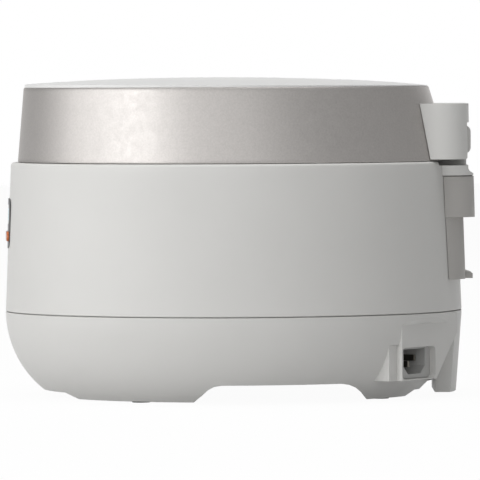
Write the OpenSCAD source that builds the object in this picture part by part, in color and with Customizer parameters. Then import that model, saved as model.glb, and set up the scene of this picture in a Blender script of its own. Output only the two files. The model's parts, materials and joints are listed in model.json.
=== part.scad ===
// Rice cooker with a hinged lid: one moulded base, an upper shell, a lid that swings on a pin at the rear,
// a lift-off steam cap and a dew collector that pulls off the back.
// X is the width, Y the depth with the front at -Y, Z is up and the feet stand on z = 0.

/* [Body] */
// Depth of the body at its widest line, front to back
body_depth = 304; // [300:1:308]
// Width of the body at its widest line
body_width = 258; // [254:1:262]
// Height of the seam between the base and the upper shell
seam_z = 57; // [56:0.5:58]
// Height of the upper shell's rim
rim_z = 156; // [155.5:0.1:156.2]
// How far the upper shell leans in between the seam and the rim
shell_lean = 3.9; // [3:0.1:4.5]
// Radius of the base's tucked-in side
base_curve = 67; // [66:1:70]
// Wall thickness of the plastic shells
wall = 2.6; // [2.2:0.1:3]
// How far the dew collector stands out behind the body
rear_reach = 8; // [7.6:0.1:8.4]

/* [Lid] */
// Height of the metal band's lower edge
band_z = 156.6; // [156.5:0.1:157]
// Height of the metal band's upper edge
band_top = 205.6; // [205:0.1:206]
// Height of the lid's crown
crown_z = 212; // [211.6:0.1:212.4]
// How far the band's lower edge lies inside the body's widest line
band_inset = 7.4; // [7:0.1:8]
// How far the band's upper edge lies inside the body's widest line
crown_inset = 17.1; // [16.5:0.1:17.5]
// How far the band's upper edge sits in front of its lower edge
lid_rake = 5.5; // [5:0.1:6]

/* [Hinge] */
// Distance of the hinge pin behind the origin
hinge_y = 140; // [139.5:0.1:140.2]
// Height of the hinge pin
hinge_z = 169.5; // [169.3:0.1:169.8]
// How far the knuckle on the body stands out behind the hinge pin
knuckle_reach = 14; // [13.6:0.1:14.2]
// Radius of the hinge pin
pin_r = 3; // [2.5:0.1:3.2]

/* [Pot] */
// Outer radius of the inner pot
pot_r = 97; // [95:0.5:97]
// Height of the pot's underside
pot_floor = 62; // [61:0.5:64]
// Height of the deck that the pot's flange rests on
deck_z = 152; // [151.5:0.1:152]

/* [Power inlet] */
// Direction that the inlet panel faces, turned from +X towards the rear
inlet_angle = 53; // [52:1:54]
// Distance of the inlet panel from the body's centre
inlet_reach = 141; // [140:0.1:141.4]
// Width of the inlet's opening
inlet_w = 24.2; // [24:0.1:24.4]
// Height of the inlet's opening
inlet_h = 16.3; // [16:0.1:16.5]

/* [Front panel] */
// Width of the control panel
panel_w = 40; // [38:1:42]
// Height of the control panel
panel_h = 33; // [32:1:34]
// Height of the control panel's middle
panel_z = 115.5; // [114:0.5:117]

/* [Hidden] */
$fn = 96;
half_d = body_depth / 2;
narrow = body_width / body_depth;
body_y = -rear_reach / 2;
floor_z = 5;
floor_t = 2.5;
foot_z = 0.8;
pad_r = 6;
pad_h = 3;
foot_inner = 102;
pot_y = -8;

// Lid: its oval slides forward as it rises
lid_y = body_y + 1.1;
crown_y = lid_y - lid_rake;
band_h = band_top - band_z;
rake = lid_rake / band_h;
band_wall = 1.8;
dome_a = 170;
dome_h = 12.8;
dome_y = crown_y - 8.2;

// Hinge: the post runs between two lugs of the lid, inside a cover
post_half = 14;
post_foot = 144.6;
slot_half = 14.8;
lug_t = 9;
cover_half_low = 56;
cover_half_top = 46;
cover_low = 157.3;
cover_top = 194;
cover_back = 150.8;
strip_back = 152.3;
strip_z = 181.5;
cover_corner = 22;
cover_sweep = 15.6;

// Rear pieces
ledge_half = 47;
ledge_low = 146.6;
ledge_top = 153.4;
ledge_back = 151.3;
notch_y = 131.4;
box_half = 46;
box_low = 78;
box_step = 119;
box_top = 146;
box_corner = 18;
box_inset = 6.4;
box_back = body_y + half_d + rear_reach;

// Power inlet: places along the panel are counted from the foot of the body centre's normal
inlet_u = 15.5;
inlet_z = 25.4;
pocket_u = 14.6;
pocket_w = 37.2;
pocket_h = 20.8;
pocket_z = 24.6;
pocket_deep = 5.3;
boss_left = -4.65;
boss_right = 58;
boss_low = 13.4;
boss_top = 50;
step_left = -12.8;
step_deep = 4.6;

// Latch at the lid's front
latch_y = -135.5;
latch_z = 166;
keeper_front = -144;
button_y = -113;

// Steam vent near the lid's rear
vent_y = 50;
vent_r = 12.5;

// Base fittings
leg_r = 84;
tunnel_z = 12.4;
fan_pos = [-35, 44];
fan_size = 50;
fan_z = tunnel_z + 2.6;
board_pos = [0, -66];
board_z = 13;

// Front panel: push buttons as [x, z offset, radius]
start_place = [14.2, -8.5, 3.3];
menu_place = [4.7, -8.5, 3.3];
timer_place = [-4.7, -8.5, 3.3];
cancel_place = [-14.2, -8.5, 3.3];
window_w = 30;
window_h = 13;
window_z = panel_z + 6;

// ---- Shared forms ----

// Turns the section drawn by the children round the body's axis and narrows it to the body's oval.
// The section's x is the half depth, its y the height.
module oval() {
    for (quarter = [0:90:270])
        translate([0, body_y, 0]) scale([narrow, 1, 1]) rotate(quarter) rotate_extrude(angle = 90) children();
}

// The same, for sections of the lid, whose ovals slide forward as they rise
module lid_oval() {
    for (quarter = [0:90:270])
        multmatrix([[1, 0, 0, 0], [0, 1, -rake, rake * band_z], [0, 0, 1, 0]])
            translate([0, lid_y, 0]) scale([narrow, 1, 1]) rotate(quarter) rotate_extrude(angle = 90) children();
}

// How far the upper shell's outside lies inside the widest line at height z
function shell_inset(z) = shell_lean * (z - seam_z) / (rim_z - seam_z);

// Outside of the upper shell, seen from the front: depth and turn of the surface at x
function shell_a(z) = half_d - shell_inset(z);
function front_y(x, z) = body_y - shell_a(z) * sqrt(1 - (x / (narrow * shell_a(z)))^2);
function front_turn(x, z) = atan2(x / narrow^2, body_y - front_y(x, z));

// Half section of a cup with a round lower corner
module cup_section(radius, low, high, corner) {
    translate([0, low]) square([radius - corner, high - low]);
    translate([0, low + corner]) square([radius, high - low - corner]);
    translate([radius - corner, low + corner]) circle(r = corner);
}

// Flat rectangle with round corners, centred
module round_rect(w, h, r) {
    square([w - 2 * r, h], center = true);
    square([w, h - 2 * r], center = true);
    for (x = [-1, 1], y = [-1, 1]) translate([x * (w / 2 - r), y * (h / 2 - r)]) circle(r = r);
}

// Draws a (depth, height) outline across the width, from x0 to x1
module across(x0, x1) {
    translate([x0, 0, 0]) rotate([90, 0, 90]) linear_extrude(x1 - x0) children();
}

// Draws a (width, height) outline towards the front, through the front wall
module through_front(depth = 70) {
    translate([0, body_y - half_d - 5 + depth, 0]) rotate([90, 0, 0]) linear_extrude(depth) children();
}

// Places children on the inlet panel: x outwards, y along the panel towards the rear
module at_inlet(u = 0, z = 0) {
    translate([0, body_y, 0]) rotate(inlet_angle) translate([inlet_reach, u, z]) children();
}

// Draws a flat outline on the inlet panel, from depth d0 to depth d1 behind it
module into_inlet(u, z, d0, d1) {
    at_inlet(u, z) translate([-d1, 0, 0]) rotate([90, 0, 90]) linear_extrude(d1 - d0) children();
}

// Places children on the front panel, with z pointing out of the surface
module at_button(place) {
    z = panel_z + place[1];
    translate([place[0], front_y(place[0], z), z]) rotate(front_turn(place[0], z)) rotate([90, 0, 0]) children();
}

// Coil spring as a stack of touching turns
module spring(coil_r, wire_r, length) {
    turns = ceil(length / (2 * wire_r * 0.96));
    step = (length - 2 * wire_r) / (turns - 1);
    rotate_extrude() for (i = [0:turns - 1]) translate([coil_r, wire_r + i * step]) circle(r = wire_r);
}

// Machine screw, head down at z = 0, shank pointing up
module screw(head_r, shank_r, length) {
    difference() {
        cylinder(r = head_r, h = 2.2);
        for (a = [0, 90]) rotate(a) translate([0, 0, 0.5]) cube([head_r * 1.3, 0.9, 1.4], center = true);
    }
    translate([0, 0, 2]) cylinder(r = shank_r, h = length - 2);
}

// ---- Base ----

module base_section(skin, low, high) {
    intersection() {
        union() {
            translate([half_d - base_curve, seam_z]) circle(r = base_curve - skin);
            square([half_d - base_curve, high + 5]);
        }
        translate([0, low]) square([half_d + 1, high - low]);
    }
}

// The four feet continue the base's side down to the floor: two long ones in front, two short ones behind
module feet() {
    intersection() {
        difference() {
            oval() difference() {
                base_section(0, foot_z, floor_z + 2);
                square([foot_inner, 20]);
            }
            translate([-38, -half_d - 20, -1]) cube([76, 2 * half_d + 40, 20]);
        }
        union() {
            across(-half_d, half_d)
                polygon([[-121, 7], [-116, 5.4], [-110, 2.6], [-104, 0], [-31, 0], [-20, 10], [-121, 10]]);
            across(-half_d, half_d) polygon([[72, 10], [84, 0], [111, 0], [119, 6.6], [122, 10]]);
        }
    }
}

// Tunnel under the base from side to side, where the fingers grip; grow adds its walls
module hand_tunnel(grow = 0) {
    across(-half_d, half_d) polygon([
        [-31 - grow, -1], [-24.5 - grow, 5.8 + grow / 2], [-21 - grow, 9.2 + grow / 2],
        [-17 - grow / 2, 11.5 + grow], [-12, tunnel_z + grow], [66, tunnel_z + grow],
        [71 + grow / 2, 11.5 + grow], [75.4 + grow, 9.4 + grow / 2],
        [79 + grow, 6 + grow / 2], [84 + grow, -1]]);
}

// The base's underside rises behind the rear feet
module tail_lift(grow = 0) {
    across(-half_d, half_d)
        polygon([[113 - grow, -1], [124 - grow, 10.5 + grow], [170, 10.5 + grow], [170, -1]]);
}

module tail_leg() {
    intersection() {
        oval() polygon([[0, 3], [half_d - 4, 3], [half_d - 0.4, 50], [half_d - 0.4, seam_z - 1],
                        [0, seam_z - 1]]);
        translate([-32, 129, 3]) cube([64, 30, seam_z - 5]);
    }
}

// Outline of the inlet panel, seen from outside: its rear edge slants forward towards the floor
module boss_outline(left) {
    polygon([[left, boss_low], [pocket_u + pocket_w / 2 + 1.2, boss_low], [boss_right, 43],
             [boss_right, seam_z - 1], [left, seam_z - 1]]);
}

// Solid behind the inlet panel: a low step in front, the panel itself behind it
module inlet_boss() {
    at_inlet() translate([-42, 0, 0]) rotate([90, 0, 90]) linear_extrude(42) boss_outline(boss_left);
    at_inlet() translate([-42, step_left, boss_low])
        cube([42 - step_deep, boss_left - step_left + 1, seam_z - 1 - boss_low]);
}

// Air in front of the inlet panel that is cut out of the base's bulge; it runs out towards the seam
module inlet_relief() {
    at_inlet() rotate([90, 0, 0]) translate([0, 0, -boss_right]) linear_extrude(boss_right - boss_left)
        polygon([[0, -1], [30, -1], [30, seam_z - 1.5], [4, seam_z - 1.5], [0, boss_top]]);
    at_inlet() translate([-step_deep, step_left, -1]) cube([30, boss_left - step_left, 38]);
}

module leg_places() {
    for (a = [90, 210, 330]) translate([leg_r * cos(a), pot_y + leg_r * sin(a), 0]) children();
}

module foot_places() {
    for (side = [-1, 1]) {
        translate([side * 79.6, -64.7, 0]) children();
        translate([side * 48.5, 92, 0]) children();
    }
}

module base_shell() {
    lip = 3.2;
    color("gainsboro") difference() {
        union() {
            difference() {
                union() {
                    oval() base_section(0, floor_z, seam_z - 0.3);
                    inlet_boss();
                }
                difference() {
                    oval() base_section(wall, floor_z + floor_t, seam_z);
                    hand_tunnel(wall);
                    tail_lift(wall);
                    at_inlet() translate([-pocket_deep - 4.1, step_left - wall, 0])
                        cube([pocket_deep + 4.1, boss_right - step_left + 2 * wall, seam_z - 1]);
                }
                inlet_relief();
                tail_lift();
            }
            oval() polygon([[half_d - wall - 2, seam_z - 3.6], [half_d - 1, seam_z - 3.6],
                            [half_d - 1, seam_z - 0.5], [half_d - wall - 0.5, seam_z - 0.5], [half_d - wall - 0.5, seam_z + lip],
                            [half_d - wall - 2, seam_z + lip]]);
            feet();
            tail_leg();
            leg_places() translate([0, 0, floor_z + 1]) cylinder(r = 6, h = 37);
        }
        hand_tunnel();
        leg_places() translate([0, 0, -1]) cylinder(r = 4.2, h = 20);
        leg_places() cylinder(r = 2, h = 60);
        foot_places() translate([0, 0, -1]) cylinder(r = pad_r, h = pad_h + 1);
        into_inlet(pocket_u, pocket_z, -1, pocket_deep + 1.5) round_rect(pocket_w, pocket_h, 3);
        into_inlet(pocket_u, pocket_z, 0, 20) round_rect(28.6, 19.6, 1.5);
        for (i = [-3:3]) translate([fan_pos[0] + i * 6, fan_pos[1], fan_z]) cube([3, 34, 10], center = true);
        for (i = [-5:5]) translate([i * 8, -62, floor_z]) cube([3.5, 30, 10], center = true);
    }
}

module rubber_feet() {
    color("dimgray") foot_places() difference() {
        cylinder(r = pad_r, h = pad_h);
        translate([0, 0, -1]) cylinder(r = pad_r / 2, h = 1.8);
    }
}

module base_screws() {
    color("silver") leg_places() translate([0, 0, 19 - 2.2]) screw(3.6, 1.9, 32);
}

// ---- Upper body ----

module shell_section() {
    rim = half_d - shell_lean;
    polygon([[half_d - 0.1, seam_z + 0.3], [half_d, seam_z + 1], [half_d - shell_inset(rim_z - 3), rim_z - 3],
             [rim - 1, rim_z - 0.9], [rim - 3, rim_z], [rim - 5, rim_z], [rim - 6, rim_z - 1],
             [rim - 6, deck_z - 2.5], [rim - 4, deck_z - 4], [half_d - wall, seam_z + 0.3]]);
}

module hook_slots(clear) {
    for (x = [-30, 30]) translate([x - 3 - clear, 134, 126 - clear]) cube([6 + 2 * clear, 14, 7 + 2 * clear]);
}

module upper_shell() {
    color("whitesmoke") difference() {
        oval() shell_section();
        translate([-post_half - 0.3, 120, 140]) cube([2 * post_half + 0.6, 40, 30]);
        translate([-ledge_half - 3.8, notch_y, ledge_top]) cube([2 * ledge_half + 7.6, 30, 10]);
        hook_slots(0.6);
        through_front() translate([0, panel_z]) round_rect(panel_w - 5, panel_h - 5, 4);
    }
}

// Deck inside the rim, with the round opening that the pot hangs in
module rim_deck() {
    hole = pot_r + 4;
    color("whitesmoke") difference() {
        union() {
            oval() translate([0, deck_z - 2.4]) square([half_d - shell_lean - 6.2, 2.4]);
            translate([0, pot_y, deck_z - 7]) cylinder(r = hole + 2, h = 7);
        }
        translate([0, pot_y, deck_z - 20]) cylinder(r = hole, h = 40);
        translate([-post_half - 0.3, 127, 140]) cube([2 * post_half + 0.6, 40, 30]);
        translate([-9, keeper_front + 1, 140]) cube([18, 15.8, 20]);
    }
}

module latch_keeper() {
    color("silver") difference() {
        translate([-13, keeper_front, 138]) cube([26, 18, deck_z - 2.4 - 138]);
        translate([-9.6, keeper_front + 1.4, 139.5]) cube([19.2, 12.2, 20]);
        translate([-9.6, keeper_front + 1.4, 139.5]) cube([19.2, 14.8, 7]);
    }
}

module pot_well() {
    color("silver") difference() {
        translate([0, pot_y, 0]) rotate_extrude() difference() {
            union() {
                cup_section(pot_r + 3.6, pot_floor - 4.6, deck_z - 7, 32);
                translate([0, deck_z - 8.6]) square([pot_r + 10, 1.4]);
            }
            cup_section(pot_r + 2, pot_floor - 3, deck_z, 30.4);
        }
        translate([0, pot_y, 40]) cylinder(r = 17, h = 40);
    }
}

module inner_pot() {
    color("dimgray") translate([0, pot_y, 0]) rotate_extrude() {
        difference() {
            cup_section(pot_r, pot_floor, deck_z + 2, 28);
            cup_section(pot_r - 2.2, pot_floor + 2.2, deck_z + 10, 25.8);
        }
        translate([pot_r - 1, deck_z]) square([9, 2]);
    }
}

module side_heater() {
    color("goldenrod") translate([0, pot_y, 96]) difference() {
        cylinder(r = pot_r + 5.4, h = 26);
        translate([0, 0, -1]) cylinder(r = pot_r + 3.8, h = 28);
        translate([-4, -pot_r - 10, -1]) cube([8, 12, 28]);
    }
}

// Tray under the well that carries the coil, stiffened by radial ribs and held up by three legs
module coil_support() {
    tray_r = pot_r + 7;
    color("beige") translate([0, pot_y, 0]) difference() {
        union() {
            translate([0, 0, 47.4]) cylinder(r = tray_r, h = 2.6);
            translate([0, 0, 47.4]) difference() {
                cylinder(r = tray_r, h = 10);
                translate([0, 0, -1]) cylinder(r = tray_r - 2.4, h = 20);
            }
            for (a = [0:45:315]) rotate(a) translate([15, -1.2, 43]) cube([tray_r - 18, 2.4, 5]);
            translate([0, -pot_y, 0]) leg_places() translate([0, 0, 43]) cylinder(r = 6, h = 5);
        }
        translate([0, -pot_y, 0]) leg_places() translate([0, 0, 40]) cylinder(r = 2, h = 9);
        translate([0, 0, 30]) cylinder(r = 14, h = 40);
    }
}

// One winding of flat wire: half turns about two centres grow by half a pitch each
module induction_coil() {
    wire = 2.4;
    pitch = 3.1;
    color("chocolate") translate([0, pot_y, 50]) for (i = [0:25]) {
        shift = i % 2 == 0 ? 0 : pitch / 2;
        translate([shift, 0, 0]) rotate(i * 180) rotate_extrude(angle = 180)
            translate([26 + i * pitch / 2, 0]) square([wire, wire]);
    }
}

module ferrite_bars() {
    color("darkslategray") translate([0, pot_y, 42]) for (a = [0:45:315]) rotate(a + 22.5) difference() {
        translate([24, -5, 0]) cube([48, 10, 5]);
        for (x = [23, 73]) translate([x, 0, -1]) rotate(45) cube([3, 3, 20], center = true);
    }
}

module sensor_cap() {
    color("silver") translate([0, pot_y, 0]) {
        translate([0, 0, 58.6]) cylinder(r = 12, h = 3);
        translate([0, 0, 57]) cylinder(r = 15, h = 1.8);
        translate([0, 0, 46]) cylinder(r = 4, h = 12);
    }
}

module sensor_spring() {
    color("silver") translate([0, pot_y, 42.4]) spring(7, 0.6, 14.2);
}

module power_board() {
    color("seagreen") translate([board_pos[0], board_pos[1], 0]) {
        translate([-50, -30, board_z]) cube([100, 60, 1.6]);
        translate([-38, 12, board_z + 1.6]) cylinder(r = 9, h = 22);
        translate([-16, 16, board_z + 1.6]) cylinder(r = 6, h = 18);
        translate([-44, -24, board_z + 1.6]) cube([22, 24, 20]);
        translate([14, 8, board_z + 1.6]) cube([18, 16, 14]);
        translate([38, 14, board_z + 1.6]) cylinder(r = 7, h = 12);
        for (x = [-46, 46], y = [-26, 26]) translate([x, y, floor_z + floor_t])
            cylinder(r = 3, h = board_z - floor_z - floor_t + 0.5);
    }
}

module heat_sink() {
    color("lightgray") translate([board_pos[0] - 14, board_pos[1] - 26, board_z + 1.6]) {
        cube([52, 28, 3]);
        for (i = [0:10]) translate([i * 5, 0, 3]) cube([2, 28, 16]);
    }
}

module fan_frame() {
    color("dimgray") translate([fan_pos[0], fan_pos[1], fan_z]) {
        difference() {
            translate([-fan_size / 2, -fan_size / 2, 0]) cube([fan_size, fan_size, 13]);
            translate([0, 0, -1]) cylinder(r = 22.6, h = 15);
            for (x = [-1, 1], y = [-1, 1]) translate([x * 20.5, y * 20.5, -1]) cylinder(r = 1.8, h = 15);
        }
        difference() {
            union() {
                cylinder(r = 9, h = 2);
                for (a = [45:90:315]) rotate(a) translate([8, -1.2, 0]) cube([15.5, 2.4, 2]);
            }
            translate([0, 0, -1]) cylinder(r = 1.56, h = 6);
        }
    }
}

module fan_rotor() {
    color("gray") translate([fan_pos[0], fan_pos[1], fan_z]) {
        translate([0, 0, 0.4]) cylinder(r = 1.5, h = 4);
        translate([0, 0, 2.8]) cylinder(r = 9.5, h = 9.6);
        intersection() {
            translate([0, 0, 3.4]) cylinder(r = 21.8, h = 8.4);
            for (a = [0:360 / 7:359]) rotate(a) translate([15, 0, 7.6]) rotate([42, 0, 0])
                cube([14, 15, 1.2], center = true);
        }
    }
}

// ---- Power inlet ----

// Flat outlines of the three pins
module pin_outlines(d0, d1) {
    for (p = [[-7, 2], [7, 2], [0, -2]])
        into_inlet(inlet_u + p[0], inlet_z + p[1], d0, d1) square([2, 4], center = true);
}

module inlet_housing() {
    w = inlet_w / 2;
    h = inlet_h / 2;
    color("gray") difference() {
        union() {
            into_inlet(pocket_u, pocket_z, pocket_deep - 0.6, pocket_deep + 1.5)
                round_rect(pocket_w - 0.6, pocket_h - 0.6, 2.7);
            into_inlet(pocket_u, pocket_z, pocket_deep, pocket_deep + 24) round_rect(28, 19, 1.5);
        }
        into_inlet(inlet_u, inlet_z, -1, pocket_deep + 17)
            polygon([[-w, h], [w, h], [w, 5 - h], [w - 5, -h], [5 - w, -h], [-w, 5 - h]]);
        pin_outlines(pocket_deep + 10, pocket_deep + 30);
    }
}

module inlet_pins() {
    color("silver") pin_outlines(pocket_deep + 4, pocket_deep + 28);
}

// ---- Front panel ----

// Band of the front wall's height, from depth d behind its outside to proud before it;
// it stands out more at the top
module front_skin(proud, d) {
    oval() polygon([[shell_a(90) + proud - 0.65, 90], [shell_a(140) + proud + 0.2, 140],
                    [shell_a(140) - d, 140], [shell_a(90) - d, 90]]);
}

module panel_bezel() {
    color("dimgray") difference() {
        intersection() {
            front_skin(0.9, wall + 1);
            union() {
                through_front(60) translate([0, panel_z]) round_rect(panel_w - 5.4, panel_h - 5.4, 4);
                difference() {
                    through_front(60) translate([0, panel_z]) round_rect(panel_w, panel_h, 6);
                    oval() polygon([[0, 80], [shell_a(80) + 0.05, 80], [shell_a(150) + 0.05, 150], [0, 150]]);
                }
            }
        }
        through_front(60) translate([0, window_z]) round_rect(window_w, window_h, 2);
        for (p = [start_place, menu_place, cancel_place, timer_place])
            at_button(p) translate([0, 0, -10]) cylinder(r = p[2] + 0.35, h = 20);
    }
}

module display_window() {
    color("black") intersection() {
        front_skin(0.7, 1.6);
        through_front(60) translate([0, window_z]) round_rect(window_w - 0.4, window_h - 0.4, 1.8);
    }
}

module push_button(place, tone) {
    color(tone) at_button(place) {
        translate([0, 0, -5]) cylinder(r = place[2], h = 6.7);
        translate([0, 0, -7]) cylinder(r = place[2] + 0.9, h = 2.4);
        translate([0, 0, -9]) cylinder(r = 2, h = 4);
    }
}

module start_button() push_button(start_place, "orangered");
module cancel_button() push_button(cancel_place, "gray");
module menu_button() push_button(menu_place, "gray");
module timer_button() push_button(timer_place, "gray");

module control_board() {
    color("seagreen") {
        translate([-21, -126.4, panel_z - 15]) cube([42, 1.6, 30]);
        translate([-14, -150, window_z - 6]) cube([28, 24, 12]);
        for (p = [start_place, menu_place, cancel_place, timer_place]) intersection() {
            at_button(p) {
                translate([-3, -3, -13.5]) cube([6, 6, 3]);
                translate([0, 0, -30]) cylinder(r = 2.4, h = 17);
            }
            translate([-70, -160, 90]) cube([140, 34, 50]);
        }
    }
}

// ---- Rear pieces on the body ----

// Post that carries the knuckle, with a foot that is screwed down under the deck
module hinge_post() {
    color("whitesmoke") difference() {
        union() {
            across(-post_half, post_half) {
                translate([hinge_y + knuckle_reach - 13.5, hinge_z + 0.5]) round_rect(27, 18.8, 4.2);
                polygon([[129, post_foot], [143, post_foot], [143, 150], [151, 151], [151, 163], [149, hinge_z],
                         [127, hinge_z], [129, 158]]);
            }
            translate([-26, 106, post_foot]) cube([52, 26, deck_z - 2.4 - post_foot]);
        }
        across(-40, 40) translate([hinge_y, hinge_z]) circle(r = pin_r + 0.06);
        for (x = [-20, 20]) translate([x, 116, 140]) cylinder(r = 1.8, h = 15);
    }
}

module hinge_pin() {
    color("silver") across(-slot_half - lug_t, slot_half + lug_t)
        translate([hinge_y, hinge_z]) circle(r = pin_r);
}

// Torsion spring on the pin's free length beside one lug, with its two legs
module hinge_spring() {
    color("silver") translate([slot_half + lug_t + 0.6, hinge_y, hinge_z]) {
        rotate([0, 90, 0]) spring(5, 0.8, 14);
        translate([0, 0, -5.6]) rotate([-30, 0, 0]) translate([0, -16, 0]) cube([1.5, 16, 1.5]);
        translate([12.5, -22, 4.2]) cube([1.5, 22, 1.5]);
    }
}

// White ledge under the hinge cover, with a lip above the dew collector
module rear_ledge() {
    color("whitesmoke") difference() {
        intersection() {
            across(-ledge_half, ledge_half) polygon([
                [110, ledge_low], [box_back - 1.2, ledge_low], [box_back - 1.2, ledge_low + 1.4],
                [153.6, ledge_low + 2.1], [152.1, ledge_low + 3.1], [ledge_back, ledge_low + 4.6],
                [ledge_back, ledge_top], [110, ledge_top]]);
            translate([0, 0, ledge_low - 1]) linear_extrude(20) translate([0, box_back - 50])
                round_rect(2 * ledge_half, 100, box_corner);
        }
        oval() polygon([[0, 140], [shell_a(140) + 0.1, 140], [shell_a(rim_z) + 0.1, rim_z], [0, rim_z]]);
        translate([-post_half - 0.2, 120, 140]) cube([2 * post_half + 0.4, 31.2, 30]);
        translate([-post_half - 0.2, 120, ledge_low + 4]) cube([2 * post_half + 0.4, 40, 30]);
        for (x = [-26, 26]) translate([x - 5, 146.5, 140]) cube([10, 2.5, 30]);
    }
}

// Cup that catches the water running off the lid; it pulls off backwards. Its back leans with the shell,
// and steps in below box_step.
module collector_form(skin) {
    plan = 2 * (box_half - skin);
    back = box_back - skin;
    intersection() {
        translate([0, 0, box_step + skin]) linear_extrude(box_top - box_step)
            translate([0, back - 50]) round_rect(plan, 100, box_corner - skin);
        across(-60, 60) polygon([[60, box_step - 5], [back, box_step - 5], [back, box_step],
                                 [back - 0.9, box_top], [60, box_top]]);
    }
    intersection() {
        translate([0, 0, box_low + skin]) linear_extrude(box_top - box_low - skin - 1)
            translate([0, back - box_inset - 50]) round_rect(plan, 100, box_corner - skin);
        across(-60, 60) polygon([[60, box_low], [back - box_inset, box_low], [back - box_inset - 1.5, box_step],
                                 [back - box_inset - 2.5, box_top], [60, box_top]]);
    }
}

module dew_collector() {
    color("lightgray") difference() {
        union() {
            difference() {
                union() {
                    collector_form(0);
                    across(-20, 20) polygon([[140, box_low], [box_back - 1.2, box_low],
                                             [box_back - 1.2, box_low + 3.2], [149, box_low + 5.2],
                                             [140, box_low + 5.2]]);
                }
                difference() {
                    collector_form(1.8);
                    oval() translate([0, 60]) square([shell_a(box_step) + 2.6, 100]);
                }
                translate([0, 0, box_top - 2]) linear_extrude(6) difference() {
                    translate([0, box_back - 3 - 50]) round_rect(2 * box_half - 3.6, 100, box_corner - 1.8);
                    translate([-100, -100]) square([200, 248.4]);
                }
                oval() polygon([[0, 60], [shell_a(60) + 0.35, 60], [shell_a(150) + 0.35, 150], [0, 150]]);
            }
            for (x = [-30, 30]) translate([x - 3, 136, 126]) cube([6, 12, 5]);
        }
    }
}

// ---- Lid ----

function band_edge(z) = half_d - band_inset - (crown_inset - band_inset) * (z - band_z) / band_h;

// Solid inside the band's outside, moved out by grow
module band_form(grow = 0) {
    lid_oval() polygon([[0, band_z - 5], [band_edge(band_z - 5) + grow, band_z - 5],
                        [band_edge(band_top + 2) + grow, band_top + 2], [0, band_top + 2]]);
}

module lid_band() {
    color("silver") difference() {
        lid_oval() polygon([
            [band_edge(band_z) - 0.5, band_z], [band_edge(band_z + 0.5), band_z + 0.5],
            [band_edge(band_top - 0.6), band_top - 0.6], [band_edge(band_top) - 0.7, band_top],
            [band_edge(band_top) - 3.5, band_top], [band_edge(band_top) - 3.5, band_top - 1.5],
            [band_edge(band_top) - band_wall, band_top - 3], [band_edge(band_z) - band_wall, band_z]]);
        translate([-cover_half_top + 4, 90, 140]) cube([2 * cover_half_top - 8, 80, 48]);
    }
}

// Upright oval wall over the lid's crown, out to the given half depth
module crown_oval(edge, low, high) {
    for (quarter = [0:90:270])
        translate([0, crown_y, 0]) scale([narrow, 1, 1]) rotate(quarter) rotate_extrude(angle = 90)
            translate([0, low]) square([edge, high - low]);
}

// Flattened dome that shapes the crown, lowered by drop
module dome(drop) {
    for (quarter = [0:90:270])
        translate([0, dome_y, crown_z - dome_h - drop]) scale([narrow, 1, dome_h / dome_a])
            rotate(quarter) rotate_extrude(angle = 90) intersection() {
                circle(r = dome_a);
                square(dome_a);
            }
}

// Crown of the lid, with openings for the release button and the steam cap's recess
module lid_cover() {
    edge = half_d - crown_inset - 0.7;
    color("white") difference() {
        union() {
            difference() {
                intersection() {
                    dome(0);
                    crown_oval(edge, band_top + 0.1, crown_z + 5);
                }
                intersection() {
                    dome(2.4);
                    crown_oval(edge - 2, band_top - 5, crown_z + 5);
                }
            }
            intersection() {
                dome(1);
                translate([0, vent_y, band_top - 3]) linear_extrude(12) round_rect(61, 49, 14.5);
            }
        }
        translate([0, button_y, 190]) linear_extrude(30) round_rect(34.8, 14.8, 5.4);
        translate([0, vent_y, band_top - 1.4]) linear_extrude(12) round_rect(56.8, 44.8, 12.4);
        translate([0, vent_y, 190]) cylinder(r = vent_r + 2.6, h = 30);
    }
}

module screw_places() {
    for (a = [45:90:315]) rotate(a) translate([86, 0, 0]) children();
}

module hinge_lugs() {
    for (side = [-1, 1]) {
        x0 = side > 0 ? slot_half : -slot_half - lug_t;
        across(x0, x0 + lug_t) {
            translate([hinge_y, hinge_z]) circle(r = 10.6);
            polygon([[104, 157.4], [134, 158.6], [hinge_y, hinge_z - 10.6], [hinge_y, hinge_z + 10.6],
                     [118, 176], [104, 166]]);
        }
    }
}

// Structural tray of the lid: an oval plate, a round dome over the pot and the two hinge lugs
module lid_frame() {
    plate_z = 157.2;
    hole = pot_r + 6.6;
    color("gainsboro") difference() {
        union() {
            lid_oval() translate([0, plate_z]) square([band_edge(plate_z) - band_wall - 0.9, 2.4]);
            translate([0, pot_y, plate_z]) cylinder(r = hole + 2.4, h = 7.4);
            hinge_lugs();
            for (x = [-12, 8]) translate([x, latch_y - 5, plate_z]) cube([4, 10, 13]);
            translate([0, button_y, plate_z + 7]) cylinder(r = 9.5, h = 18);
            screw_places() translate([0, 0, plate_z + 5]) cylinder(r = 5, h = 35);
        }
        translate([0, pot_y, plate_z - 5]) cylinder(r = hole, h = 10);
        translate([0, vent_y, 150]) cylinder(r = vent_r + 2.4, h = 30);
        translate([-slot_half, 122.5, 150]) cube([2 * slot_half, 50, 40]);
        translate([-7.6, latch_y - 5.5, 150]) cube([15.2, 11, 30]);
        translate([-5, latch_y - 5, 150]) cube([10, 34, 26]);
        translate([0, button_y, 150]) cylinder(r = 6.2, h = 60);
        across(-40, 40) translate([hinge_y, hinge_z]) circle(r = pin_r);
        across(-20, 20) translate([latch_y, latch_z]) circle(r = 1.5);
        screw_places() translate([0, 0, plate_z + 4]) cylinder(r = 1.7, h = 40);
    }
}

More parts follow.
